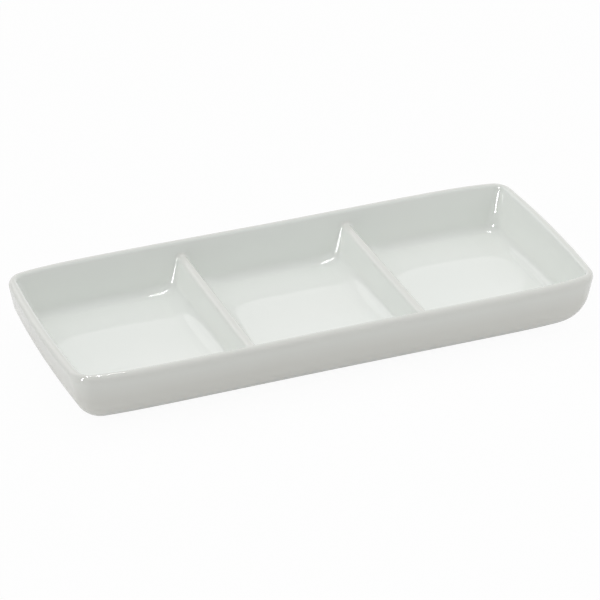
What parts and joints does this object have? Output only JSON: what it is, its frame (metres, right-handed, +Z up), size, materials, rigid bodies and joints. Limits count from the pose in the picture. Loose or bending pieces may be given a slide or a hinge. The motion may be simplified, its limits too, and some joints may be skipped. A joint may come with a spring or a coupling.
{
  "type": "divided serving tray",
  "caption": "Low rectangular porcelain serving tray with a rounded rim, walls that curve under to a bare foot ring, and low dividers that flare into the walls, all under a clear glaze.",
  "frame": {"origin": "centre of the foot ring's underside, on the table", "axes": "+X along the tray's length, +Y across it, +Z up out of the wells"},
  "size_m": [0.25, 0.107, 0.0285],
  "materials": {
    "biscuit_porcelain": "matte, bare fired porcelain",
    "white_glaze": "clear gloss glaze over white porcelain"
  },
  "bodies": {
    "root": {"porcelain_body": "biscuit_porcelain", "glaze_coat": "white_glaze", "underside_glaze": "white_glaze"}
  },
  "joints": []
}
